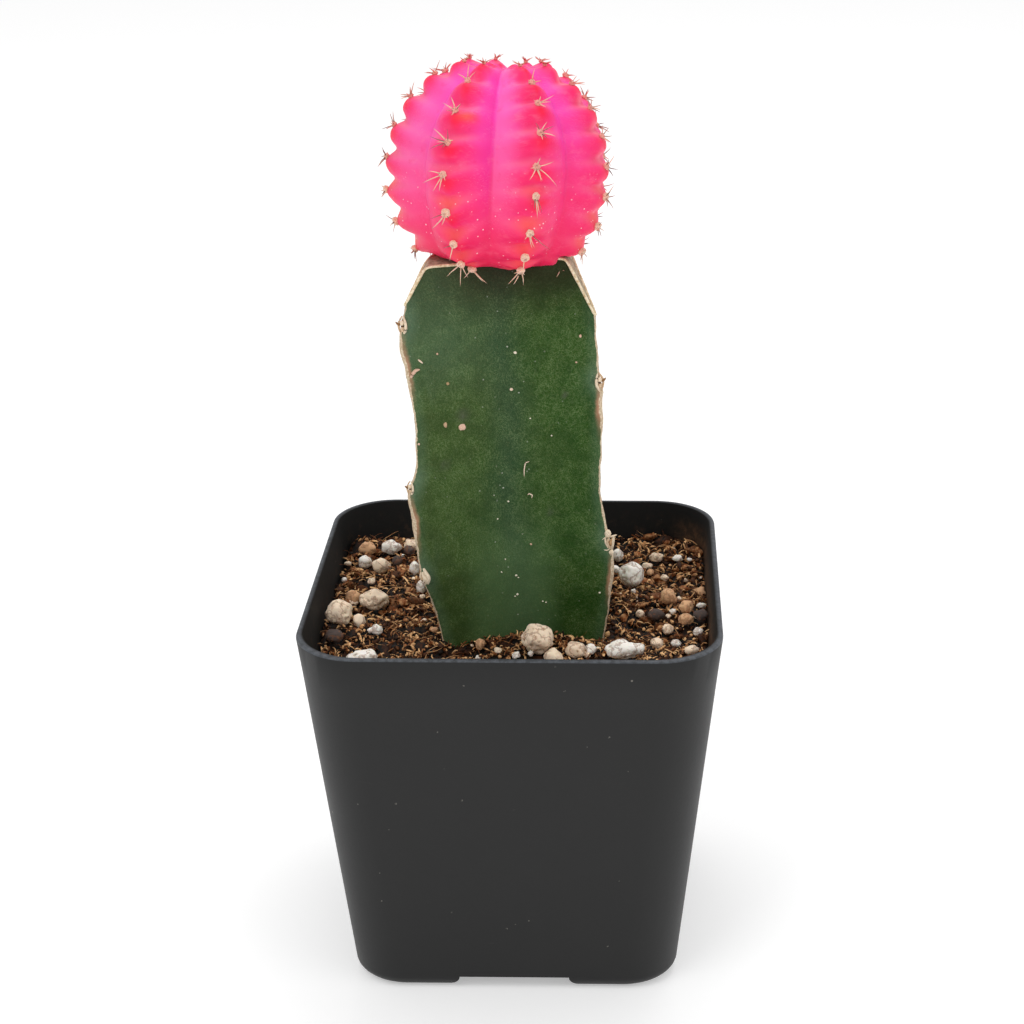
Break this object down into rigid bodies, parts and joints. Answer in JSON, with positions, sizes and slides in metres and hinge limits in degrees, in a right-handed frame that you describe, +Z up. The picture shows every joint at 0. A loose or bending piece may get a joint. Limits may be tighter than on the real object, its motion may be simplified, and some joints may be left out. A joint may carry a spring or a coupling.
{
  "type": "potted moon cactus",
  "caption": "Grafted moon cactus: a pink ribbed ball of tubercles and spines seated on a three-ribbed green stem, standing in gritty mix in a small square nursery pot.",
  "frame": {"origin": "middle of the pot's footprint, on the surface it stands on", "axes": "+Z up; -Y is the front, the flat face of the three-ribbed stem; +X is to the right as seen from the front"},
  "size_m": [0.065, 0.065, 0.1461],
  "materials": {
    "pot_plastic": "matte",
    "potting_mix": "matte",
    "stem_skin": "satin",
    "scion_skin": "satin",
    "grit_pale": "matte",
    "grit_cream": "matte",
    "grit_tan": "matte",
    "grit_slate": "matte"
  },
  "bodies": {
    "root": {"pot": "pot_plastic", "potting_mix": "potting_mix", "rootstock": "stem_skin", "scion": "scion_skin", "stone_01": "grit_pale", "stone_02": "grit_cream", "stone_03": "grit_cream", "stone_04": "grit_cream", "stone_05": "grit_cream", "stone_06": "grit_cream", "stone_07": "grit_pale", "stone_08": "grit_cream", "stone_09": "grit_pale", "stone_10": "grit_tan", "stone_11": "grit_slate", "stone_12": "grit_tan", "stone_13": "grit_tan", "stone_14": "grit_pale", "stone_15": "grit_pale", "stone_16": "grit_cream", "stone_17": "grit_tan", "stone_18": "grit_pale", "stone_19": "grit_cream", "stone_20": "grit_pale", "stone_21": "grit_cream", "stone_22": "grit_slate", "stone_23": "grit_pale", "stone_24": "grit_pale", "stone_25": "grit_tan", "stone_26": "grit_cream", "stone_27": "grit_cream", "stone_28": "grit_cream", "stone_29": "grit_pale", "stone_30": "grit_slate", "stone_31": "grit_pale", "stone_32": "grit_tan", "stone_33": "grit_pale", "stone_34": "grit_cream"}
  },
  "joints": []
}
